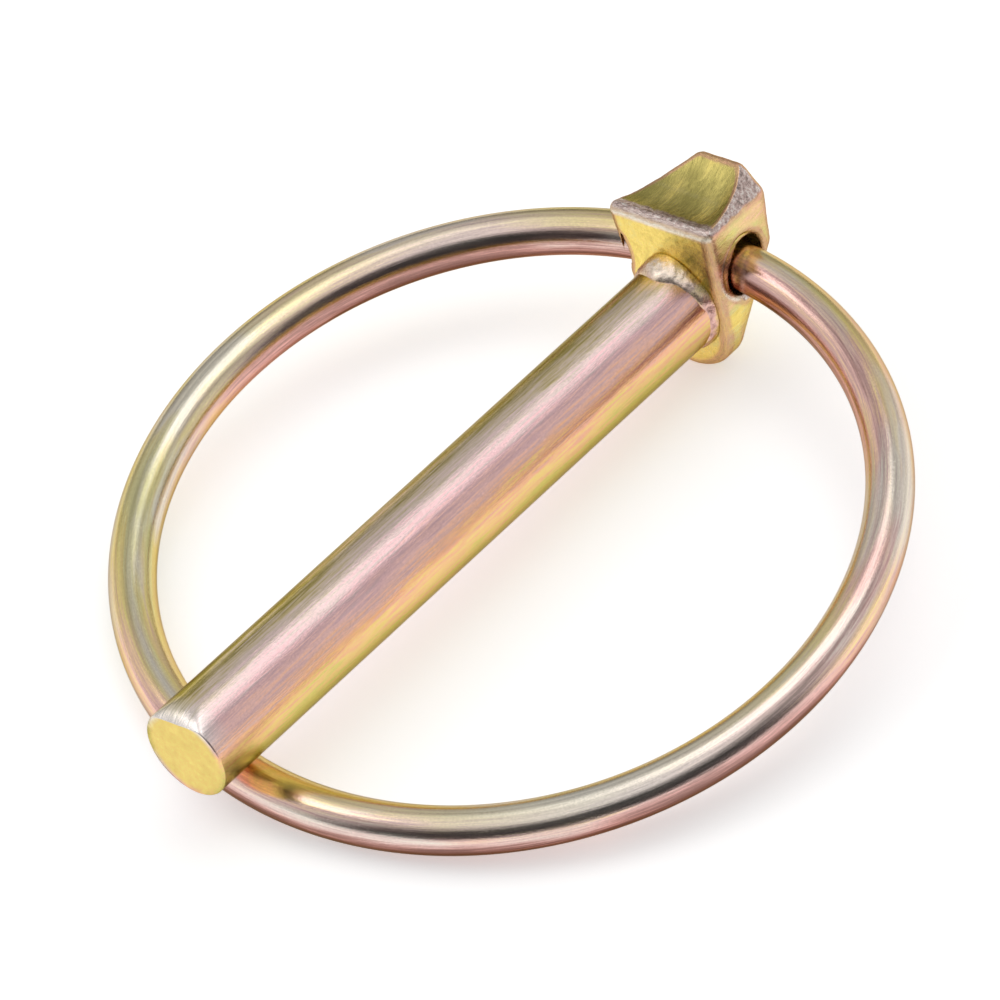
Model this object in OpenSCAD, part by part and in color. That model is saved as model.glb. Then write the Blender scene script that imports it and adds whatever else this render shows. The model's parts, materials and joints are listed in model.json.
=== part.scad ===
// Linch pin: a round shank is welded to a forged head, and a ring of spring
// wire, sprung into the head's cross hole, snaps under the shank's tip.
// The pin is built with its shank along X and its head at +X, and is then
// laid down to rest on the head's round foot and the ring's far side.

/* [Shank] */
// Diameter of the shank
shank_d = 8; // [6:0.5:10]
// Length of the shank in front of the head
shank_len = 62.6; // [50:0.2:80]
// Length of the shank beyond the middle of the closed ring's wire
tip_overhang = 5.4; // [4:0.1:9]
// Depth of the edge that the shear rolled over on the upper side of the tip
tip_roll = 0.9; // [0.3:0.1:1.2]
// Length of that rolled edge along the shank
tip_roll_len = 2.4; // [1.5:0.1:5]

/* [Head] */
// Reach of the front face beyond the shank, at the round foot
foot_margin = 0.6; // [0.3:0.1:2]
// Extra width of the front face at its top edge
top_flare = 1.8; // [0:0.1:3]
// Height of the front top edge above the top of the shank
head_rise = 4.4; // [4:0.1:6]
// Height of the back top edge above the front one
back_rise = 1.5; // [0:0.1:3]
// Depth of the round foot below the shank
foot_drop = 2.7; // [1:0.1:4]
// Length of the head along the shank
head_len = 8.4; // [8:0.1:10]
// Length of the round foot along the shank
foot_len = 2.8; // [1.8:0.1:4]
// Width of the head at the back, below its sloping shoulders
back_w = 8.4; // [6:0.1:9.6]
// Width of the top at the back, between its sloping shoulders
back_top_w = 5.6; // [4:0.1:8]
// Skew of the forging: its front top edge stands off to the left, its back to the right
top_skew = 0.5; // [0:0.1:0.6]
// Height of the sloping shoulders at the back
shoulder_h = 1.6; // [0.5:0.1:4]
// Height of the back's lower corner above the shank's axis
back_corner = 1.4; // [0.6:0.1:3]
// Depth of the dished top below its front and back edges
dish_depth = 1.1; // [0.3:0.1:1.2]
// Radius to which the dish curves up towards its sides
dish_side_r = 14; // [9:0.5:30]
// Distance of the dish's deepest line from the middle, to the left
dish_shift = 2.4; // [0:0.1:3]
// Radius of the forged edges in front
edge_r = 0.8; // [0.4:0.1:1.2]
// Radius of the forged corners at the back
back_r = 1.1; // [0.5:0.1:1.6]

/* [Cross hole] */
// Play of the wire in the cross hole, all round
hole_play = 0.6; // [0.6:0.05:0.8]
// Thickness of the wall in front of the cross hole
front_wall = 1.1; // [1:0.1:1.4]
// Thickness of the head between the cross hole and its front top edge
top_wall = 3; // [2.6:0.1:3.1]
// Chamfer at the mouths of the cross hole
mouth_chamfer = 0.25; // [0.1:0.05:0.4]

/* [Weld] */
// Reach of the weld bead along the shank
weld_reach = 1.8; // [1:0.1:3]
// Height of the weld bead above the shank's surface
weld_height = 0.6; // [0.3:0.1:1.6]
// Depth of the bevel that the weld fills at the shank's end
weld_depth = 1; // [0.5:0.1:2]

/* [Ring] */
// Diameter of the spring wire
wire_d = 4; // [3.6:0.1:4.2]
// Gap between the closed ring and the underside of the shank
ring_gap = 0.58; // [0.56:0.02:1]
// Sideways turn of the ring and its cross hole, in degrees
ring_turn = 5.5; // [0:0.5:5.5]
// Lean of the ring and its cross hole about the shank's axis, in degrees
ring_lean = 7.5; // [5:0.5:8]
// Depth of the wire below the middle of the cross hole
ring_sag = 0.15; // [0:0.05:0.15]
// Gap between the two wire ends inside the cross hole
end_gap = 3; // [2:0.1:5]
// Stagger of the two wire ends, which springs the ring shut
end_stagger = 0.15; // [0:0.05:0.2]

/* [Hidden] */
$fn = 96;
hull_fn = 32;
zinc = "#C9B56A";
weld_zinc = "#D8CE9A";
past = 1; // how far a cutting tool runs past the face that it cuts

shank_r = shank_d / 2;
wire_r = wire_d / 2;

// Front face: a round foot of radius foot_r, widening to the top edge.
foot_r = shank_r + foot_margin;
foot_z = foot_r - shank_r - foot_drop;
top_z = shank_r + head_rise;
top_half_w = foot_r + top_flare / 2;

// The cross hole runs across the head, and mouth_y is half the head's width there.
hole_r = wire_r + hole_play;
hole_x = front_wall + hole_r;
hole_z = top_z - top_wall - hole_r;
front_y = foot_r + (top_half_w - foot_r) * (hole_z - foot_z) / (top_z - foot_z);
mouth_y = front_y + (back_w / 2 - front_y) * hole_x / head_len;

// The closed ring's wire crosses under the shank at catch_x in front of the
// hole and ring_fall below it, which sets the ring's size and its swing.
ring_z = hole_z - ring_sag;
catch_x = shank_len - tip_overhang + hole_x;
ring_fall = ring_z + (shank_r + wire_r + ring_gap) / cos(ring_lean);
ring_reach = norm([catch_x, ring_fall]);
ring_swing = atan(ring_fall / catch_x);
// The wire runs through the hole on a curve, which is centred in the hole.
seat_shift = pow(mouth_y, 2) / (2 * ring_reach);
ring_r = (ring_reach + seat_shift) / (2 * cos(ring_turn));
// The two halves of the ring are tilted apart about its far point, so that
// the two sprung wire ends stand off each other by the stagger.
half_tilt = asin(end_stagger / 2 / (2 * ring_r));
end_angle = asin(end_gap / 2 / ring_r);

function about_x(a, p) = [p.x, p.y * cos(a) - p.z * sin(a), p.y * sin(a) + p.z * cos(a)];
function about_y(a, p) = [p.x * cos(a) + p.z * sin(a), p.y, p.z * cos(a) - p.x * sin(a)];
function about_z(a, p) = [p.x * cos(a) - p.y * sin(a), p.x * sin(a) + p.y * cos(a), p.z];
function ring_place(p) =
    [hole_x, 0, ring_z] + about_y(-ring_swing, about_x(ring_lean, about_z(ring_turn, p)));

// Resting pose: the pin rolls until the ring's plane is level from side to
// side, and pitches until the foot and the ring's far side are both down.
rest_roll = -atan(tan(ring_lean) / cos(ring_swing));
ring_tilt = asin(sin(ring_swing) * cos(ring_lean));
ring_centre = about_x(rest_roll, ring_place([seat_shift - ring_r, 0, 0]));
foot_centre = about_x(rest_roll, [foot_len - edge_r, 0, foot_z]);
span_x = foot_centre.x - ring_centre.x + ring_r * cos(ring_tilt);
span_z = ring_centre.z - foot_centre.z - ring_r * sin(ring_tilt);
rest_pitch = asin((wire_r - foot_r) / norm([span_x, span_z])) - atan2(span_z, span_x);
back_x = head_len - back_r;
back_z = top_z + back_rise - back_r;
head_reach = about_y(rest_pitch, [back_x, 0, back_z]).x + back_r;
tip_reach = about_y(rest_pitch, [-shank_len, 0, -shank_r]).x;
rest_at = [
    -(head_reach + tip_reach) / 2,
    -ring_centre.y,
    foot_r - about_y(rest_pitch, foot_centre).z,
];

// Turns what is built flat, with Y across the pin, to lie as the closed ring does
module in_line_with_ring() {
    rotate([0, -ring_swing, 0]) rotate([ring_lean, 0, 0]) rotate([0, 0, ring_turn]) children();
}

module lay_down() {
    translate(rest_at) rotate([0, rest_pitch, 0]) rotate([rest_roll, 0, 0]) children();
}

// The shank is bevelled for the weld at the head, and one edge of its sheared
// tip is rolled over to an arc that runs smoothly into the shank's surface.
module shank() {
    roll_r = (pow(tip_roll_len, 2) + pow(tip_roll, 2)) / (2 * tip_roll);
    color(zinc) lay_down() difference() {
        rotate([0, -90, 0]) {
            cylinder(h = weld_reach, r1 = shank_r - weld_depth, r2 = shank_r);
            translate([0, 0, weld_reach])
                cylinder(h = shank_len - weld_reach, r = shank_r);
        }
        translate([-shank_len, 0, shank_r]) rotate([90, 0, 0])
            linear_extrude(shank_d + 2 * past, center = true)
                difference() {
                    translate([-past, -tip_roll]) square([tip_roll_len + past, tip_roll + past]);
                    translate([tip_roll_len, -roll_r]) circle(r = roll_r);
                }
    }
}

// One rounded corner of the forging on both sides of the head, shifted to the left
module corner_pair(x, half_w, z, r, shift = 0) {
    for (side = [-1, 1])
        translate([x, side * (half_w - r) + shift, z]) sphere(r = r, $fn = hull_fn);
}

// The front face with its rounded edge ends in a round foot. The back is higher
// and narrower, with sloping shoulders, and runs down to the foot.
module forged_block() {
    hull() {
        corner_pair(edge_r, top_half_w, top_z - edge_r, edge_r, top_skew);
        corner_pair(back_x, back_top_w / 2, back_z, back_r, -top_skew);
        corner_pair(back_x, back_w / 2, back_z - shoulder_h, back_r, -top_skew);
        corner_pair(back_x, back_w / 2, back_corner + back_r, back_r);
        for (x = [edge_r, foot_len - edge_r])
            translate([x, 0, foot_z]) rotate([0, 90, 0])
                rotate_extrude($fn = 2 * hull_fn) translate([foot_r - edge_r, 0])
                    circle(r = edge_r, $fn = hull_fn);
    }
}

// The dish is a barrel across the head that meets both top edges.
module dish() {
    dish_len = head_len - 2 * edge_r;
    chord = norm([dish_len, back_rise]);
    dish_r = (pow(chord / 2, 2) + pow(dish_depth, 2)) / (2 * dish_depth);
    translate([edge_r, dish_shift, top_z]) rotate([0, -atan(back_rise / dish_len), 0])
        translate([chord / 2, 0, dish_r - dish_depth]) rotate([90, 0, 0])
            rotate_extrude() intersection() {
                translate([dish_r - dish_side_r, 0]) circle(r = dish_side_r);
                translate([0, -top_half_w - past]) square([dish_r, 2 * (top_half_w + past)]);
            }
}

// The hole runs the way the ring's wire crosses it, along Y in the ring's frame.
module cross_hole() {
    in_line_with_ring() {
        rotate([90, 0, 0])
            cylinder(h = 2 * (top_half_w + past), r = hole_r, center = true);
        for (side = [-1, 1]) rotate([side * 90, 0, 0])
            translate([0, 0, mouth_y - mouth_chamfer])
                cylinder(h = mouth_chamfer + past, r1 = hole_r, r2 = hole_r + mouth_chamfer + past);
    }
}

module head() {
    color(zinc) lay_down() difference() {
        forged_block();
        dish();
        translate([hole_x, 0, hole_z]) cross_hole();
    }
}

// The weld fills the shank's bevel and stands up in a convex bead in the corner
// between the shank and the head's front face.
module weld_bead() {
    steps = 8;
    arc = [for (i = [0:steps]) [
        shank_r + weld_height * sin(90 * i / steps),
        weld_reach * cos(90 * i / steps),
    ]];
    color(weld_zinc) lay_down() rotate([0, -90, 0])
        rotate_extrude() polygon(concat([[shank_r - weld_depth, 0]], arc));
}

// One half of the ring, from its far point to its end in the cross hole
module half_ring(tilt) {
    translate([-2 * ring_r, 0, 0]) rotate([0, tilt, 0]) translate([ring_r, 0, 0])
        rotate([0, 0, 180]) rotate_extrude(angle = 180 - end_angle)
            translate([ring_r, 0]) circle(r = wire_r);
}

module ring() {
    color(zinc) lay_down() translate([hole_x, 0, ring_z]) in_line_with_ring()
        translate([seat_shift, 0, 0]) {
            half_ring(-half_tilt);
            mirror([0, 1, 0]) half_ring(half_tilt);
        }
}

shank();
head();
weld_bead();
ring();
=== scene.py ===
import json
import math

import bpy
import numpy as np
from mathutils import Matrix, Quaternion, Vector, noise


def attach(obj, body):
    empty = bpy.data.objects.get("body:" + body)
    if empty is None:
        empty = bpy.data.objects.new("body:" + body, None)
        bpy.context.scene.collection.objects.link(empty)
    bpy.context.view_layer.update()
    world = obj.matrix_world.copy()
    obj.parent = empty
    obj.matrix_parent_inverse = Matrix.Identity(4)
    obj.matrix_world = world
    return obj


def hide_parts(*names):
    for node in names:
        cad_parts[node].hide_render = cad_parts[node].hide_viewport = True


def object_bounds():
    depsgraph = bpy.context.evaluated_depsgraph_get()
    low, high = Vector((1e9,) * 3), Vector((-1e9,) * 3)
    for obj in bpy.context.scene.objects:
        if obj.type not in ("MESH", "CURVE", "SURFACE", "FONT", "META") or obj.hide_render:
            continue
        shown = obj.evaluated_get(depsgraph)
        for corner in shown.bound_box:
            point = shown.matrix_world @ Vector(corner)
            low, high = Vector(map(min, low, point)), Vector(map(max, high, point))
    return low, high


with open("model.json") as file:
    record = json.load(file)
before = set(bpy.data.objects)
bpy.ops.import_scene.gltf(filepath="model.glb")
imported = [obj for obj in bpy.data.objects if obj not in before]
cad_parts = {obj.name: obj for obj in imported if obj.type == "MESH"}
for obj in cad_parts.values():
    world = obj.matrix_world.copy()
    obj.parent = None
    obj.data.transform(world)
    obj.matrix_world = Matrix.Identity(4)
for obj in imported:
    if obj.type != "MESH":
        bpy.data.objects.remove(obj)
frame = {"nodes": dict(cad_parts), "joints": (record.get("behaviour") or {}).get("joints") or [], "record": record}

# A linch pin in yellow zinc: a shank is welded to a forged head, and a snap ring of spring wire sits in
# the head's cross hole. Each of the frame's four solids is replaced by a finer mesh in the same place.

CAD_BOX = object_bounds()
MM = 0.001

# Driving sizes of the part, in millimetres, as in its CAD source.
# Shank
SHANK_R = 4.0
SHANK_LEN = 62.6
TIP_OVERHANG = 5.4  # length of the shank beyond the middle of the closed ring's wire
TIP_ROLL = 0.9  # depth of the edge that the shear rolled over
TIP_ROLL_LEN = 2.4
# Head
FOOT_MARGIN = 0.6
TOP_FLARE = 1.8
HEAD_RISE = 4.4
BACK_RISE = 1.5
FOOT_DROP = 2.7
HEAD_LEN = 8.4
BACK_W = 8.4
EDGE_R = 0.8
# Cross hole
HOLE_PLAY = 0.6
FRONT_WALL = 1.1
TOP_WALL = 3.0
# Weld
WELD_REACH = 1.8
WELD_HEIGHT = 0.6
# Ring
WIRE_R = 2.0
RING_GAP = 0.58
RING_TURN = 5.5
RING_LEAN = 7.5
RING_SAG = 0.15
END_GAP = 3.0
END_STAGGER = 0.15

# Derived places, from the shank's axis and the head's front face
TOP_Z = SHANK_R + HEAD_RISE
FOOT_R = SHANK_R + FOOT_MARGIN
FOOT_Z = FOOT_R - SHANK_R - FOOT_DROP
HOLE_R = WIRE_R + HOLE_PLAY
HOLE_X = FRONT_WALL + HOLE_R
HOLE_Z = TOP_Z - TOP_WALL - HOLE_R
FRONT_Y = FOOT_R + TOP_FLARE / 2 * (HOLE_Z - FOOT_Z) / (TOP_Z - FOOT_Z)
MOUTH_Y = FRONT_Y + (BACK_W / 2 - FRONT_Y) * HOLE_X / HEAD_LEN  # half the head's width at the cross hole

# Finish that the plain solids leave out, in millimetres
TIP_EDGE = 0.16  # radius of the tip's sheared edge
FACE_SINK = 0.05  # keeps the sheared face inside the CAD's end
FACE_WAVE = 0.04  # waviness of the sheared face
BAR_LEN = SHANK_LEN - 0.3  # the bar that is seen ends inside the weld
TOP_PRESS = 1.15  # depth of the pressed dish in the head's top
SCALE_W = 1.45  # width of the scaly rim along the top's front edge
HIGHLIGHT_DROP = 0.65  # depth of the painted highlight line below that edge
HEAD_VOXEL = 0.11  # size of the remeshed head's facets
DENT_SINK = 0.03  # keeps the head's dents inside the CAD's skin
MOUTH_FLARE = 0.32  # how far the cross hole's mouths round over
MOUTH_LIP = 0.3  # how far their front lip is drawn in
WELD_SINK = 0.05  # depth of the weld's toe under the shank's skin
WIRE_TRIM = 0.01  # keeps the wire just inside the frame's ring
END_EASE = 0.35  # length over which the wire's cut ends are eased


# ---- The pin's own frame: X along the shank to the head, Y along the cross hole

def closed_ring():
    """How far the closed ring hangs down from the cross hole, in degrees, and how far it reaches."""
    catch = SHANK_LEN - TIP_OVERHANG + HOLE_X
    fall = HOLE_Z - RING_SAG + (SHANK_R + WIRE_R + RING_GAP) / math.cos(math.radians(RING_LEAN))
    return math.degrees(math.atan(fall / catch)), math.hypot(catch, fall)


RING_SWING, RING_REACH = closed_ring()


def pin_frame():
    """Where the shank's axis meets the head's front face, and the three axes, all in the row frame."""
    ex = -Vector(frame["record"]["mounts"][0]["axis"])
    roll = -math.atan(math.tan(math.radians(RING_LEAN)) / math.cos(math.radians(RING_SWING)))
    across = Vector((0, 1, 0))
    ey = math.cos(roll) * across + math.sin(roll) * ex.cross(across)
    ez = ex.cross(ey)
    origin = Vector(frame["joints"][0]["pos_m"]) - MM * (HOLE_X * ex + HOLE_Z * ez)
    return np.array(origin), np.array([ex, ey, ez])


PIN_AT, PIN_AXES = pin_frame()


def to_row(points):
    """Pin-frame points in millimetres, as row-frame points in metres."""
    return PIN_AT + MM * np.asarray(points, float) @ PIN_AXES


def to_pin(points):
    """Row-frame points in metres, as pin-frame points in millimetres."""
    return (np.asarray(points, float) - PIN_AT) @ PIN_AXES.T / MM


def turn(axis, degrees):
    """The matrix that turns row vectors by degrees about axis 0, 1 or 2."""
    c, s = math.cos(math.radians(degrees)), math.sin(math.radians(degrees))
    m = np.eye(3)
    i, j = (axis + 1) % 3, (axis + 2) % 3
    m[i, i] = m[j, j] = c
    m[i, j], m[j, i] = s, -s
    return m


# ---- Shaping functions

def fade(value, start, full):
    """0 at start and before it, rising evenly to 1 at full."""
    return np.clip((value - start) / (full - start), 0, 1)


def bell(value, middle, width):
    """1 at middle, falling off smoothly over about width to both sides."""
    return np.exp(-((value - middle) / width) ** 2)


def soft_excess(height, limit, soft):
    """How far height stands above limit, with the corner between them rounded over about soft."""
    return soft * np.log1p(np.exp(np.clip((height - limit) / soft, -40, 40)))


def smooth_noise(points, scale, seed):
    """Smooth noise from -1 to 1 at each point."""
    offset = Vector((seed, 2.7 * seed, 5.1 * seed))
    return np.array([noise.noise(Vector(p) * scale + offset) for p in points])


def mixed_noise(points, *layers):
    """The sum of several layers of smooth noise, each given as its strength, scale and seed."""
    return sum(strength * smooth_noise(points, scale, seed) for strength, scale, seed in layers)


# ---- Objects and meshes

def add_object(name, data):
    """A new object with that data, in the scene."""
    added = bpy.data.objects.new(name, data)
    bpy.context.scene.collection.objects.link(added)
    return added


def new_piece(name, verts, faces, body, replaces):
    """A smooth mesh that rides on the body and stands for the CAD node that it replaces."""
    mesh = bpy.data.meshes.new(name)
    mesh.from_pydata([tuple(v) for v in verts], [], faces)
    mesh.validate()
    mesh.shade_smooth()
    piece = add_object(name, mesh)
    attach(piece, body)
    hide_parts(replaces)
    return piece


def set_vector(piece, name, values):
    """Gives the piece a vector attribute, one value per vertex, for its material to read."""
    attribute = piece.data.attributes.new(name, "FLOAT_VECTOR", "POINT")
    attribute.data.foreach_set("vector", np.asarray(values, np.float32).ravel())


def set_float(piece, name, values):
    """Gives the piece a number attribute, one value per vertex, for its material to read."""
    attribute = piece.data.attributes.new(name, "FLOAT", "POINT")
    attribute.data.foreach_set("value", np.asarray(values, np.float32).ravel())


def skin(rows, around):
    """Quads between rows of a closed section, and a fan of triangles to each end's own centre point."""
    faces = []
    for i in range(rows - 1):
        for j in range(around):
            k = (j + 1) % around
            faces.append((i * around + j, i * around + k, (i + 1) * around + k, (i + 1) * around + j))
    first, last = rows * around, rows * around + 1
    for j in range(around):
        k = (j + 1) % around
        faces.append((first, k, j))
        faces.append((last, (rows - 1) * around + j, (rows - 1) * around + k))
    return faces


# ---- Shank

def shank_stations():
    """Each section's x from the tip and its radius: over the sheared face, round its edge, along the bar."""
    face = [(0.0, r) for r in np.linspace(0.3, SHANK_R - TIP_EDGE, 14)]
    corner = [
        (TIP_EDGE * (1 - math.cos(a)), SHANK_R - TIP_EDGE * (1 - math.sin(a)))
        for a in np.radians(np.linspace(12, 90, 7))
    ]
    near = [(x, SHANK_R) for x in np.linspace(TIP_EDGE + 0.1, 4, 44)]
    far = [(x, SHANK_R) for x in np.linspace(4.5, BAR_LEN, 110)]
    return face + corner + near + far


def roll_over(points):
    """Presses the tip's upper edge down to the arc that the shear rolled over, with soft ends."""
    arc_r = (TIP_ROLL_LEN ** 2 + TIP_ROLL ** 2) / (2 * TIP_ROLL)
    back = np.clip(TIP_ROLL_LEN - points[:, 0], 0, TIP_ROLL_LEN)
    top = SHANK_R - arc_r + np.sqrt(arc_r ** 2 - back ** 2)
    # The shear drags the edge down unevenly, a little further on the left.
    uneven = 0.03 * points[:, 1] + 0.06 * smooth_noise(points, scale=0.8, seed=3)
    top -= back / TIP_ROLL_LEN * uneven
    soft = 0.02 + 0.16 * back / TIP_ROLL_LEN
    points[:, 2] -= soft_excess(points[:, 2], top, soft) * (back > 0)


def make_shank():
    """The bar, with a slightly wavy sheared face and its upper edge rolled over."""
    around = 192
    stations = shank_stations()
    t = np.linspace(0, 2 * np.pi, around, endpoint=False)
    rows = [np.column_stack([np.full(around, x), r * np.sin(t), r * np.cos(t)]) for x, r in stations]
    points = np.vstack(rows + [[[0, 0, 0]], [[BAR_LEN, 0, 0]]])
    angle = np.arctan2(-points[:, 1], points[:, 2])
    on_face = points[:, 0] < 0.01
    roll_over(points)
    points[on_face, 0] += FACE_SINK + FACE_WAVE * smooth_noise(points[on_face], scale=0.35, seed=5)
    from_rim = SHANK_R - np.hypot(points[:, 1], points[:, 2])
    # Where a highlight is painted over the tip's rolled edge
    rolled = fade(points[:, 0], TIP_ROLL_LEN, 0) * fade(np.cos(angle), 0.3, 0.8)
    points[:, 0] -= SHANK_LEN
    piece = new_piece("shank_bar", to_row(points), skin(len(stations), around), "pin", "shank")
    set_float(piece, "film", 0.5 - 0.5 * np.cos(angle + math.radians(54)))
    set_float(piece, "tip", np.where(on_face, fade(from_rim, 0.1, 0.6), 0))
    set_float(piece, "edge", rolled)
    around_bar = np.column_stack([points[:, 0], SHANK_R * np.sin(angle), SHANK_R * np.cos(angle)])
    set_vector(piece, "flow", np.where(on_face[:, None], 0.3 * points, around_bar))
    return piece


# ---- Head

SHOULDER = np.array([0.12, -0.66, 0.74])  # the way that the right shoulder's slope faces


def remeshed_head():
    """A copy of the CAD head in small even facets, with its edges eased."""
    piece = add_object("head_forging", frame["nodes"]["head"].data.copy())
    remesh = piece.modifiers.new("remesh", "REMESH")
    remesh.mode = "VOXEL"
    remesh.voxel_size = HEAD_VOXEL * MM
    ease = piece.modifiers.new("ease", "SMOOTH")
    ease.factor = 0.5
    ease.iterations = 5
    bpy.context.view_layer.update()
    done = piece.evaluated_get(bpy.context.evaluated_depsgraph_get())
    mesh = bpy.data.meshes.new_from_object(done)
    piece.modifiers.clear()
    piece.data = mesh
    mesh.materials.clear()
    mesh.shade_smooth()
    return piece


def move_points(mesh, points):
    """Puts the mesh's vertices at these points of the pin's own frame."""
    mesh.vertices.foreach_set("co", to_row(points).astype(np.float32).ravel())
    mesh.update()


def mesh_normals(mesh):
    """The vertex normals, in the pin's own frame."""
    return np.array([v.normal for v in mesh.vertices]) @ PIN_AXES.T


def press_top(points, normals):
    """Eases the dish out over the whole top and across the right shoulder's crest, as a press leaves it."""
    crest_front_y, crest_back_y, spread = -4.6, -3.3, 1.7
    x, y, z = points.T
    along = fade(x, EDGE_R, HEAD_LEN - EDGE_R)
    crest = crest_front_y + (crest_back_y - crest_front_y) * along
    share = fade(y, crest - spread, crest + spread)
    depth = TOP_PRESS * 4 * along * (1 - along) * share ** 2 * (3 - 2 * share)
    excess = soft_excess(z, TOP_Z + BACK_RISE * along - depth, soft=0.08)
    points[:, 2] -= np.where((normals[:, 2] > 0.3) & (depth > 0.01), excess, 0)


def shape_mouths(points):
    """Rounds the cross hole's two mouths a little further, and draws their front lip in towards the wire."""
    x, y, z = points.T
    away = np.column_stack([x - HOLE_X, 0 * y, z - HOLE_Z])
    radial = np.linalg.norm(away, axis=1)
    near = fade(abs(y), MOUTH_Y - 1.2, MOUTH_Y - 0.4)
    in_front = fade(away[:, 0] / radial, 0, -0.625)
    lip = MOUTH_LIP * fade(radial, HOLE_R + 0.5, HOLE_R) * near * in_front
    inward = MOUTH_FLARE * fade(radial, HOLE_R + 0.55, HOLE_R + 0.05) ** 2
    points -= away / radial[:, None] * lip[:, None]
    points[:, 1] -= np.sign(y) * inward * near


def edge_strength(mesh, points, normals):
    """How sharply the surface bends outwards at each vertex, from 0 on a flat to 1 on a forged edge."""
    sharp, passes = 0.35, 14
    ends = np.empty(len(mesh.edges) * 2, np.int32)
    mesh.edges.foreach_get("vertices", ends)
    ends = ends.reshape(-1, 2)
    value = np.zeros(len(points))
    count = np.zeros(len(points))
    for a, b in ((0, 1), (1, 0)):
        step = points[ends[:, b]] - points[ends[:, a]]
        bend = -np.einsum("ij,ij->i", step, normals[ends[:, a]]) / np.einsum("ij,ij->i", step, step)
        np.add.at(value, ends[:, a], bend)
        np.add.at(count, ends[:, a], 1)
    value /= np.maximum(count, 1)
    for _ in range(passes):
        total = np.zeros(len(points))
        np.add.at(total, ends[:, 0], value[ends[:, 1]])
        np.add.at(total, ends[:, 1], value[ends[:, 0]])
        value = 0.5 * value + 0.5 * total / np.maximum(count, 1)
    return np.clip(value / sharp, 0, 1)


def scaly_rim(points, normals, ragged):
    """1 on the scaly rim along the top's front edge and on the right shoulder, 0 elsewhere."""
    x, z = points[:, 0], points[:, 2]
    front = fade(x, SCALE_W + 0.15 + ragged, SCALE_W - 0.15 + ragged) * (z > TOP_Z - 1.4)
    front *= np.clip(normals[:, 2] * 3 - 1.2, 0, 1)
    shoulder = fade(normals @ SHOULDER + 0.2 * ragged, 0.9, 0.95)
    return np.maximum(front, shoulder)


def painted_highlight_lines(points, normals, ragged):
    """1 on the painted highlight line under the top's front edge and on the cross hole's front lips, 0 elsewhere.
    """
    x, y, z = points.T
    below = abs(z - (TOP_Z - HIGHLIGHT_DROP) - 0.3 * ragged)
    line = fade(below, 0.36, 0) * np.clip(-normals[:, 0] * 3 - 0.6, 0, 1)
    lip = bell(np.hypot(x - HOLE_X, z - HOLE_Z), HOLE_R + 0.3, 0.16)
    lip *= fade(x, HOLE_X, HOLE_X - 1.5) * (abs(y) > MOUTH_Y - 1)
    return np.maximum(line, lip)


def forged_film(points, normals):
    """Place in the forging's palette for each vertex, by the face that it lies on."""
    # The way that each face looks, how narrowly it counts, its weight, and its place in the palette
    faces = [
        ((0.0, 0.0, 1.0), 4, 1.0, 0.04),
        ((-1.0, 0.0, 0.0), 4, 1.0, 0.30),
        ((0.0, -1.0, 0.0), 4, 1.0, 0.47),
        ((0.0, 1.0, 0.0), 4, 1.0, 0.42),
        ((1.0, 0.0, 0.0), 4, 1.0, 0.36),
        ((0.0, 0.0, -1.0), 4, 1.0, 0.32),
        (SHOULDER, 24, 3.0, 0.80),
    ]
    total = np.full(len(points), 1e-6)
    film = 0.5 * total
    for direction, focus, weight, place in faces:
        share = weight * np.clip(normals @ direction, 0, 1) ** focus
        total += share
        film += share * place
    upward = 0.02 * (points[:, 2] - 3)
    return film / total + upward * np.clip(-normals[:, 1], 0, 1)


def make_head():
    """The forging: the CAD head with a pressed top, drawn mouths and the small dents of its die."""
    piece = remeshed_head()
    mesh = piece.data
    points = to_pin([v.co for v in mesh.vertices])
    press_top(points, mesh_normals(mesh))
    shape_mouths(points)
    move_points(mesh, points)
    normals = mesh_normals(mesh)
    edge = edge_strength(mesh, points, normals)
    film = forged_film(points, normals)
    ragged = mixed_noise(points, (0.25, 1.6, 31), (0.12, 5.0, 32))
    rim = scaly_rim(points, normals, ragged)
    # Where a highlight is painted: a line under the top's front edge and rings on the cross hole's front lips
    line = painted_highlight_lines(points, normals, ragged)
    dent = mixed_noise(points, (0.03, 0.6, 11), (0.012, 2.2, 12)) - DENT_SINK
    worn = 0.02 * edge * smooth_noise(points, scale=3.0, seed=13)
    points = points + normals * (dent + worn)[:, None]
    move_points(mesh, points)
    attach(piece, "pin")
    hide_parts("head")
    set_float(piece, "film", film)
    set_float(piece, "edge", edge)
    set_float(piece, "rim", rim)
    set_float(piece, "line", line)
    # The pattern is coarser on the front face.
    front = np.clip(-normals[:, 0], 0, 1) ** 4
    set_vector(piece, "flow", points * (1 - 0.75 * front[:, None]))
    return piece


# ---- Weld bead

def weld_shape(t):
    """The fillet's reach along the shank and its height above it, at each angle from the top."""
    place = np.column_stack([np.cos(t), np.sin(t), 0 * t])
    upper = np.clip(np.cos(t - 0.05), 0, 1)
    lump = smooth_noise(place, scale=1.2, seed=21)
    toe = smooth_noise(place, scale=2.6, seed=25)
    reach = WELD_REACH * (0.56 + 0.16 * upper + 0.52 * upper ** 6 + 0.1 * lump + 0.12 * toe)
    height = WELD_HEIGHT * (0.45 + 1.1 * upper ** 8 + 0.25 * lump)
    return reach, height


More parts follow.
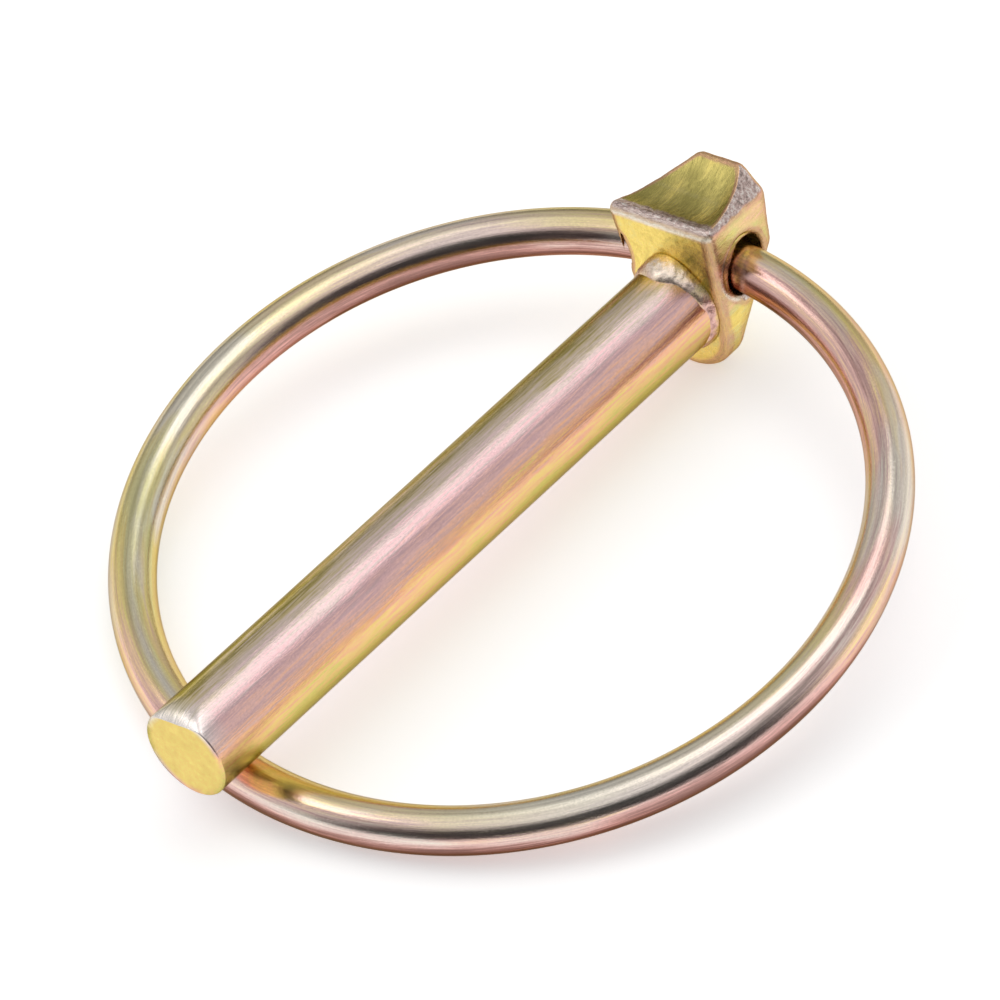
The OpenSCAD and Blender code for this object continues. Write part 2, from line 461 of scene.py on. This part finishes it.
def make_weld():
    """A lumpy fillet round the shank: full and wet at the top, thin below, with uneven toes."""
    around, rows = 320, 30
    t = np.linspace(0, 2 * np.pi, around, endpoint=False)
    s = np.linspace(0, 0.5 * np.pi, rows)
    reach, height = weld_shape(t)
    points = []
    for a in s:
        r = SHANK_R - WELD_SINK + (height + WELD_SINK) * math.sin(a) ** 1.2
        points.append(np.column_stack([-reach * math.cos(a), r * np.sin(t), r * np.cos(t)]))
    points = np.vstack(points + [[[-WELD_REACH * 0.5, 0, 0]], [[0, 0, 0]]])
    body = points[:-2]
    outward = body * [0, 1, 1] / np.linalg.norm(body[:, 1:], axis=1)[:, None]
    lumps = mixed_noise(body, (0.11, 0.8, 22), (0.06, 1.7, 26), (0.02, 4.0, 23))
    crown = np.repeat(np.sin(2 * s) ** 0.6, around)
    points[:-2] = body + outward * (lumps * crown)[:, None]
    piece = new_piece("weld_fillet", to_row(points), skin(rows, around), "pin", "weld_bead")
    toes = np.append(1 - crown, [0, 0])
    set_float(piece, "film", 0.34 + 0.3 * toes + 0.25 * smooth_noise(points, scale=0.9, seed=24))
    # The edge attribute here paints a highlight: strongest over the top of the bead, weaker on its toes
    set_float(piece, "edge", np.clip(points[:, 2] / SHANK_R, 0, 1) ** 2 * (1 - 0.7 * toes))
    set_vector(piece, "flow", points)
    return piece


# ---- Ring

# Places on the ring are degrees round it from its far point, positive on the right and negative on the left.
# Each stretch with a painted silver highlight has its middle, its half length and how strongly it is painted.
HIGHLIGHT_STRETCHES = [(48, 34, 1.0), (-98, 20, 0.5), (-142, 22, 0.7)]
# Ways that the wire's surface faces, in the row frame
BATH_SIDE = [0.24, 0.24, 0.2]
# Painted silver highlights go where the wire faces this way
HIGHLIGHT_SIDE = [-0.25, -0.25, 0.935]
LEFT_SIDE = [-0.7, 0.7, 0.2]
# Runs across the crest that carries a painted highlight line
CREST_SIDE = [0.717, -0.697, 0.0]
BATH_DRIFT = 0.0045  # how much the film changes with each millimetre across the row frame


def ring_half(side):
    """From the far point to the cross hole: length along the wire, its middle, and its section's two axes."""
    seat = MOUTH_Y ** 2 / (2 * RING_REACH)
    radius = (RING_REACH + seat) / (2 * math.cos(math.radians(RING_TURN)))
    tilt = math.degrees(math.asin(END_STAGGER / 2 / (2 * radius)))
    end = math.asin(END_GAP / 2 / radius)
    lay = turn(1, -side * tilt)
    place = turn(2, RING_TURN) @ turn(0, RING_LEAN) @ turn(1, -RING_SWING)
    theta = np.linspace(0, math.pi - end, 361)
    out = np.column_stack([-np.cos(theta), -side * np.sin(theta), 0 * theta])
    up = np.tile([0.0, 0.0, 1.0], (len(theta), 1))
    line = (radius * (out + [1, 0, 0])) @ lay + [seat - 2 * radius, 0, 0]
    middle = line @ place + [HOLE_X, 0, HOLE_Z - RING_SAG]
    return side * radius * theta, middle, out @ lay @ place, up @ lay @ place


def stretch_at(bend, middle, width):
    """1 at that place on the ring, falling off smoothly to both sides, for every point of the section."""
    return bell(bend, middle, width)[:, None]


def wire_film(bend, middle, section, outward, under):
    """Place in the wire's palette, which differs with the side that each stretch turned to the bath."""
    film = 0.5 + section @ BATH_SIDE + BATH_DRIFT * middle[:, None, 1]
    film += 0.4 * stretch_at(bend, -60, 30) * under
    film -= 0.2 * stretch_at(bend, 152, 30)
    film -= 0.28 * stretch_at(bend, -135, 32) * (1 - under)
    film += 0.34 * stretch_at(bend, 112, 30) * np.clip(outward - 0.1, 0, 1)
    film -= 0.4 * stretch_at(bend, -20, 17) * np.clip(section @ LEFT_SIDE, 0, 1)
    return film


def wire_highlight(bend, section):
    """Painted silver highlights: along stretches where the wire faces up to the light, and a painted highlight
    line on one crest.
    """
    highlight_share = sum(share * stretch_at(bend, middle, half) for middle, half, share in HIGHLIGHT_STRETCHES)
    facing_light = fade(section @ HIGHLIGHT_SIDE, 0.65, 0.85)
    crest = bell(section @ CREST_SIDE, 0, 0.2) * (section[..., 2] > 0)
    return highlight_share * facing_light + stretch_at(bend, -32, 28) * crest


def make_ring():
    """The wire: a tube round the whole ring, with its two cut ends eased."""
    around = 56
    halves = zip(ring_half(-1), ring_half(1))
    along, middle, out, up = (np.concatenate([left[:0:-1], right]) for left, right in halves)
    span = abs(along[0])
    inset = fade(abs(along), span - END_EASE, span)
    radius = WIRE_R - WIRE_TRIM - END_EASE * (1 - np.sqrt(1 - 0.9 * inset ** 2))
    t = np.linspace(0, 2 * np.pi, around, endpoint=False)
    section = out[:, None, :] * np.cos(t)[None, :, None] + up[:, None, :] * np.sin(t)[None, :, None]
    points = (middle[:, None, :] + radius[:, None, None] * section).reshape(-1, 3)
    points = np.vstack([points, middle[:1], middle[-1:]])
    faces = [tuple(reversed(f)) for f in skin(len(middle), around)]
    piece = new_piece("ring_wire", to_row(points), faces, "ring", "ring")
    grid = np.tile(t, len(middle))
    flow = np.column_stack([np.repeat(along, around), WIRE_R * np.cos(grid), WIRE_R * np.sin(grid)])
    set_vector(piece, "flow", np.vstack([flow, [[along[0], 0, 0], [along[-1], 0, 0]]]))
    bend = 180 * along / span
    section = section @ PIN_AXES
    # 1 on the wire's underside, fading to 0 over its sides; it shifts the film there and paints shade
    under = np.clip(0.4 - 1.1 * section[..., 2], 0, 1)
    film = wire_film(bend, middle @ PIN_AXES, section, np.cos(t), under)
    # Painted silver highlights along the wire
    bare_and_highlight = wire_highlight(bend, section)
    # Each attribute ends with its values at the centres of the two cut ends.
    set_float(piece, "film", np.append(film, [0.5, 0.5]))
    set_float(piece, "under", np.append(under, [0, 0]))
    set_float(piece, "bare_and_highlight", np.append(bare_and_highlight, [0, 0]))
    return piece


# ---- Materials

def linear(red, green, blue):
    """An sRGB colour, 0 to 255, as a linear colour."""
    parts = [v / 255 for v in (red, green, blue)]
    return [v / 12.92 if v <= 0.04045 else ((v + 0.055) / 1.055) ** 2.4 for v in parts] + [1.0]


# Colours of the chromate film round a bar, from one side to the other
BAR_FILM = [
    (0.00, linear(188, 174, 98)),
    (0.08, linear(212, 194, 118)),
    (0.17, linear(232, 212, 172)),
    (0.27, linear(236, 216, 200)),
    (0.38, linear(236, 210, 206)),
    (0.52, linear(238, 196, 198)),
    (0.66, linear(240, 196, 188)),
    (0.82, linear(246, 190, 152)),
    (0.92, linear(244, 206, 140)),
    (1.00, linear(212, 198, 118)),
]
# Colours round the wire: pink on one side, gold and olive on the other
WIRE_FILM = [
    (0.00, linear(172, 136, 128)),
    (0.15, linear(204, 162, 154)),
    (0.30, linear(232, 190, 182)),
    (0.42, linear(242, 204, 174)),
    (0.54, linear(240, 212, 158)),
    (0.68, linear(232, 212, 140)),
    (0.84, linear(216, 208, 150)),
    (1.00, linear(190, 184, 128)),
]
# Colours of the film on the forging: olive, gold, green, orange, pink and a worn grey
FORGED_FILM = [
    (0.00, linear(178, 166, 96)),
    (0.14, linear(204, 188, 112)),
    (0.30, linear(252, 226, 130)),
    (0.45, linear(226, 216, 146)),
    (0.60, linear(244, 206, 156)),
    (0.74, linear(232, 182, 176)),
    (0.88, linear(190, 166, 166)),
    (1.00, linear(160, 148, 142)),
]
# Colours of the forging scale on the head's rim
FORGING_SCALE = [
    (0.37, linear(130, 119, 113)),
    (0.49, linear(208, 182, 175)),
    (0.62, linear(244, 236, 228)),
]
SILVER = linear(226, 220, 212)
# Colour of the painted highlight on the tip's rolled edge
ROLLED_EDGE_HIGHLIGHT = linear(238, 230, 226)
TIP_GOLD = linear(240, 214, 132)
WORN_EDGE = linear(206, 150, 134)
# Colour of the painted highlight under the head's front edge and on the cross hole's lips
PAINTED_HIGHLIGHT = linear(255, 250, 236)
# Colour of the painted highlight over the top of the weld bead
WELD_TOP_HIGHLIGHT = linear(255, 241, 222)

# How the plating reflects at a grazing angle, as a linear colour
EDGE_TINT = (0.6, 0.5, 0.38, 1)
BAR_EDGE_TINT = (0.5, 0.45, 0.33, 1)


class Nodes:
    """Adds nodes to the tree of a material or of the world, and links them."""

    def __init__(self, owner):
        owner.use_nodes = True
        self.tree = owner.node_tree
        self.tree.nodes.clear()

    def add(self, kind, **inputs):
        """A node of that kind, with its named inputs linked or set."""
        node = self.tree.nodes.new(kind)
        for key, value in inputs.items():
            self.put(node, key.replace("_", " "), value)
        return node

    def put(self, node, key, value):
        """Links or sets an input by its name, or by its number where names repeat."""
        socket = node.inputs[key]
        if isinstance(value, bpy.types.NodeSocket):
            self.tree.links.new(value, socket)
        else:
            socket.default_value = value

    def attribute(self, name, output="Fac"):
        """An attribute that the piece's mesh carries."""
        node = self.add("ShaderNodeAttribute")
        node.attribute_name = name
        return node.outputs[output]

    def math(self, operation, a, b):
        node = self.add("ShaderNodeMath")
        node.operation = operation
        self.put(node, 0, a)
        self.put(node, 1, b)
        return node.outputs[0]

    def vector_math(self, operation, a, b):
        node = self.add("ShaderNodeVectorMath")
        node.operation = operation
        self.put(node, 0, a)
        self.put(node, "Scale" if operation == "SCALE" else 1, b)
        return node.outputs["Value" if operation == "DOT_PRODUCT" else "Vector"]

    def fade(self, value, start, full, top=1.0):
        """0 at start and before it, rising evenly to top at full."""
        node = self.add("ShaderNodeMapRange", Value=value, From_Min=start, From_Max=full, To_Max=top)
        return node.outputs[0]

    def stretch(self, vector, scale):
        """The vector scaled along each axis, which draws a pattern out along the small ones."""
        return self.add("ShaderNodeMapping", Vector=vector, Scale=scale).outputs[0]

    def noise(self, vector, scale, detail=3.0, rough=0.5):
        node = self.add("ShaderNodeTexNoise", Vector=vector, Scale=scale, Detail=detail, Roughness=rough)
        return node.outputs["Fac"]

    def ramp(self, factor, stops):
        """A colour ramp through stops, each a position and a colour."""
        node = self.add("ShaderNodeValToRGB", Fac=factor)
        elements = node.color_ramp.elements
        for position, colour in stops[1:-1]:
            elements.new(position).color = colour
        for element, (position, colour) in zip(elements, stops):
            element.position, element.color = position, colour
        return node.outputs["Color"]

    def grey_ramp(self, factor, stops):
        """A ramp of greys through stops, each a position and a brightness."""
        return self.ramp(factor, [(position, (value, value, value, 1)) for position, value in stops])

    def mix(self, factor, a, b):
        """Colour a where the factor is 0, and colour b where it is 1."""
        node = self.add("ShaderNodeMix")
        node.data_type = "RGBA"
        for number, value in ((0, factor), (6, a), (7, b)):
            self.put(node, number, value)
        return node.outputs[2]


def film_place(n, grain, drift, streaks, bands=0.0, size=1.0):
    """Place in a film's palette: it drifts along the piece in broad bands and breaks up in fine lines."""
    flow = n.attribute("flow", "Vector")
    wander = n.math("SUBTRACT", n.noise(n.stretch(flow, (0.07, 0.16, 0.16)), size, 2.0), 0.5)
    run = n.math("SUBTRACT", n.noise(n.stretch(flow, (0.025, 0.55, 0.55)), size, 1.0), 0.5)
    lines = n.math("SUBTRACT", n.noise(n.stretch(flow, grain), 4.0, 6.0, 0.75), 0.5)
    film = n.attribute("film")
    for part, amount in ((wander, drift), (run, bands), (lines, streaks)):
        film = n.math("ADD", film, n.math("MULTIPLY", part, amount))
    return flow, lines, film


def metal(n, flow, lines, colour, rough, relief, contrast=0.8, edge_tint=EDGE_TINT):
    """The metal under a film colour. The fine lines break up its brightness, its gloss and its relief."""
    speck = n.noise(flow, 5.0, 4.0, 0.65)
    # Painted glints: sparse dots where the colour is brightened by up to a tenth
    painted_glint = n.fade(n.noise(n.stretch(flow, (0.35, 1.0, 1.0)), 5.5, 1.0), 0.66, 0.76)
    shade = n.math("ADD", n.math("MULTIPLY", lines, contrast), n.math("MULTIPLY", speck, 0.3))
    shade = n.math("ADD", shade, n.math("MULTIPLY", painted_glint, 0.1))
    colour = n.vector_math("SCALE", colour, n.math("ADD", shade, 0.83))
    gloss = n.math("ADD", n.math("MULTIPLY", lines, 0.3), rough)
    height = n.math("ADD", lines, n.math("MULTIPLY", speck, 0.6))
    dents = n.add("ShaderNodeBump", Strength=1.0, Distance=relief * MM, Height=height)
    shader = n.add(
        "ShaderNodeBsdfPrincipled",
        Base_Color=colour,
        Metallic=1.0,
        Specular_Tint=edge_tint,
        Roughness=gloss,
        Normal=dents.outputs["Normal"],
    )
    n.add("ShaderNodeOutputMaterial", Surface=shader.outputs["BSDF"])


def bar_material():
    """Drawn bar: fine lines along it, a painted highlight on the rolled edge, and a calmer gold face at the tip.
    """
    material = bpy.data.materials.new("zinc_bar")
    n = Nodes(material)
    flow, lines, film = film_place(n, grain=(0.05, 1.0, 1.0), drift=0.3, streaks=0.85, bands=0.2)
    # Painted highlight over the rolled edge
    colour = n.mix(n.attribute("edge"), n.ramp(film, BAR_FILM), ROLLED_EDGE_HIGHLIGHT)
    tip = n.attribute("tip")
    colour = n.mix(tip, colour, TIP_GOLD)
    lines = n.math("MULTIPLY", lines, n.math("SUBTRACT", 1.0, n.math("MULTIPLY", tip, 0.55)))
    metal(n, flow, lines, colour, rough=0.19, relief=0.02, contrast=1.0, edge_tint=BAR_EDGE_TINT)
    return material


def forged_material():
    """Forged head: edges worn pink, a scaly rim, and a painted highlight line under its front edge and on the
    cross hole's front lips.
    """
    material = bpy.data.materials.new("zinc_forging")
    n = Nodes(material)
    flow, lines, film = film_place(n, grain=(0.16, 1.0, 1.0), drift=0.8, streaks=0.5, size=2.6)
    worn = n.fade(n.attribute("edge"), 0.1, 0.6)
    ragged = n.math("ADD", n.noise(flow, 1.3, 4.0, 0.6), 0.1)
    colour = n.mix(n.math("MULTIPLY", worn, ragged), n.ramp(film, FORGED_FILM), WORN_EDGE)
    mottle = n.noise(n.stretch(flow, (1.0, 0.5, 1.0)), 3.0, 5.0, 0.75)
    colour = n.mix(n.attribute("rim"), colour, n.ramp(mottle, FORGING_SCALE))
    # Painted highlight, mottled, under the front edge and on the cross hole's front lips
    line = n.math("MULTIPLY", n.attribute("line"), n.math("MULTIPLY", mottle, 2.0))
    colour = n.mix(line, colour, PAINTED_HIGHLIGHT)
    metal(n, flow, lines, colour, rough=0.27, relief=0.035, contrast=0.5)
    return material


def weld_material():
    """Weld metal: blotches of the film, with a painted highlight over the top of the bead."""
    material = bpy.data.materials.new("zinc_weld")
    n = Nodes(material)
    flow, lines, film = film_place(n, grain=(0.5, 0.5, 0.5), drift=1.2, streaks=0.8, size=4.0)
    # Painted highlight, strongest over the top of the bead
    top_highlight = n.math("MULTIPLY", n.attribute("edge"), 0.8)
    colour = n.mix(top_highlight, n.ramp(film, WIRE_FILM), WELD_TOP_HIGHLIGHT)
    metal(n, flow, lines, colour, rough=0.26, relief=0.04)
    return material


def wire_material():
    """Spring wire: the film runs along it in long bands, thins to silver, and has painted shade on the underside,
    where its colour is squared darker.
    """
    material = bpy.data.materials.new("zinc_wire")
    n = Nodes(material)
    flow, lines, film = film_place(n, grain=(0.035, 1.0, 1.0), drift=0.7, streaks=0.8, bands=0.9)
    thin = n.fade(n.noise(n.stretch(flow, (0.04, 0.3, 0.3)), 1.3, 3.0), 0.48, 0.62, top=0.8)
    bare_and_highlight = n.math("MULTIPLY", thin, n.fade(film, 0.1, 0.4))
    # Painted silver highlights join the random thin patches of film, which are real bare silver
    bare_and_highlight = n.math("MAXIMUM", bare_and_highlight, n.math("MULTIPLY", n.attribute("bare_and_highlight"), 0.85))
    colour = n.mix(bare_and_highlight, n.ramp(film, WIRE_FILM), SILVER)
    # Painted shade: the colour squared, darker on the underside
    underside_shade = n.vector_math("MULTIPLY", colour, colour)
    colour = n.mix(n.attribute("under"), colour, underside_shade)
    metal(n, flow, lines, colour, rough=0.16, relief=0.012)
    return material


def dress():
    """Makes the four pieces and gives each its own material."""
    make_shank().data.materials.append(bar_material())
    make_head().data.materials.append(forged_material())
    make_weld().data.materials.append(weld_material())
    make_ring().data.materials.append(wire_material())


# ---- Stage, light and camera

FLOOR_HALF = 3.0
FLOOR_DROP = 0.02 * MM  # keeps the floor just clear of the part
PAPER = (0.93, 0.93, 0.93, 1)
PAPER_LIFT = 0.44  # glow that brings the lit paper up to white

# Brightness of the studio against the height of the direction: 0 is level, 1 is straight up
FAR_WALL = [
    (0.03, 1.0), (0.05, 0.32), (0.12, 0.24), (0.25, 0.34), (0.45, 0.46),
    (0.62, 0.5), (0.75, 0.56), (0.86, 0.8), (1.0, 0.85),
]
SIDE_WALLS = [
    (0.03, 1.0), (0.1, 0.74), (0.2, 0.7), (0.35, 0.74), (0.5, 0.74),
    (0.66, 0.62), (0.77, 0.38), (0.83, 0.7), (0.88, 0.9), (1.0, 0.85),
]
DARK_SIDE = [
    (0.03, 1.0), (0.05, 0.4), (0.1, 0.12), (0.2, 0.07), (0.66, 0.07), (0.8, 0.7), (0.88, 1.0), (1.0, 0.85),
]
# The level direction to the dark side. Going round to it from the far wall, the side walls and then the
# dark side take over, each between two values of the cosine of the angle from that direction.
TO_DARK_SIDE = (-0.7, -0.714, 0.0)
SECTORS = [(SIDE_WALLS, -0.95, -0.6), (DARK_SIDE, 0.3, 0.6)]

# The camera looks at the middle of the part, and then slides a little across its own view. Angles are in
# degrees, the distance in metres and the lens in millimetres.
CAMERA_AZIMUTH = -44.21
CAMERA_ELEVATION = 44.16
CAMERA_ROLL = -9.75
CAMERA_DISTANCE = 0.6344
CAMERA_LENS = 285
CAMERA_SLIDE = Vector((-0.157, 0.067, 0)) * MM


def floor_material():
    """Pale paper that keeps the shadows, lifted to white where the camera and the metal see it."""
    material = bpy.data.materials.new("floor")
    n = Nodes(material)
    paper = n.add("ShaderNodeBsdfDiffuse", Color=PAPER)
    path = n.add("ShaderNodeLightPath")
    seen = n.math("MAXIMUM", path.outputs["Is Camera Ray"], path.outputs["Is Glossy Ray"])
    seen = n.math("MAXIMUM", seen, path.outputs["Is Transmission Ray"])
    lift = n.add("ShaderNodeEmission", Strength=n.math("MULTIPLY", seen, PAPER_LIFT))
    both = n.add("ShaderNodeAddShader")
    n.put(both, 0, paper.outputs["BSDF"])
    n.put(both, 1, lift.outputs["Emission"])
    n.add("ShaderNodeOutputMaterial", Surface=both.outputs["Shader"])
    return material


def make_floor():
    """The floor just under the part, which stages it and isn't one of its pieces."""
    mesh = bpy.data.meshes.new("floor")
    corners = [(x * FLOOR_HALF, y * FLOOR_HALF, 0) for x, y in ((-1, -1), (1, -1), (1, 1), (-1, 1))]
    mesh.from_pydata(corners, [], [(0, 1, 2, 3)])
    floor = add_object("floor", mesh)
    floor.location.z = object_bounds()[0].z - FLOOR_DROP
    mesh.materials.append(floor_material())


def make_world():
    """A studio that is banded by height: a white floor, dim walls, one dark side, a soft ceiling."""
    world = bpy.data.worlds.new("studio")
    bpy.context.scene.world = world
    n = Nodes(world)
    way = n.add("ShaderNodeTexCoord").outputs["Generated"]
    height = n.add("ShaderNodeSeparateXYZ", Vector=way).outputs["Z"]
    towards = n.vector_math("DOT_PRODUCT", way, TO_DARK_SIDE)
    light = n.grey_ramp(height, FAR_WALL)
    for bands, start, full in SECTORS:
        light = n.mix(n.fade(towards, start, full), light, n.grey_ramp(height, bands))
    background = n.add("ShaderNodeBackground", Color=light, Strength=1.0)
    n.add("ShaderNodeOutputWorld", Surface=background.outputs["Background"])


def softbox(name, at, size, power):
    """A square soft light at a point in metres, facing the part."""
    lamp = bpy.data.lights.new(name, "AREA")
    lamp.size = size
    lamp.energy = power
    box = add_object(name, lamp)
    box.location = at
    box.rotation_mode = "QUATERNION"
    box.rotation_quaternion = (-Vector(at)).to_track_quat("-Z", "Y")


def make_camera():
    """A long lens that looks down on the part over its tip."""
    azimuth, elevation = math.radians(CAMERA_AZIMUTH), math.radians(CAMERA_ELEVATION)
    low, high = CAD_BOX
    back = Vector((
        math.sin(azimuth) * math.cos(elevation),
        -math.cos(azimuth) * math.cos(elevation),
        math.sin(elevation),
    ))
    data = bpy.data.cameras.new("camera")
    data.lens = CAMERA_LENS
    camera = add_object("camera", data)
    upright = (-back).to_track_quat("-Z", "Y")
    camera.rotation_mode = "QUATERNION"
    camera.rotation_quaternion = upright @ Quaternion((0, 0, 1), math.radians(CAMERA_ROLL))
    slide = camera.rotation_quaternion @ CAMERA_SLIDE
    camera.location = (low + high) / 2 + CAMERA_DISTANCE * back + slide
    bpy.context.scene.camera = camera


dress()
make_floor()
make_world()
softbox("key", (0.33, 0.0, 0.94), size=0.62, power=0.8)
softbox("fill", (-0.36, 0.52, 0.77), size=0.45, power=0.85)
make_camera()
bpy.context.scene.view_settings.view_transform = "Standard"
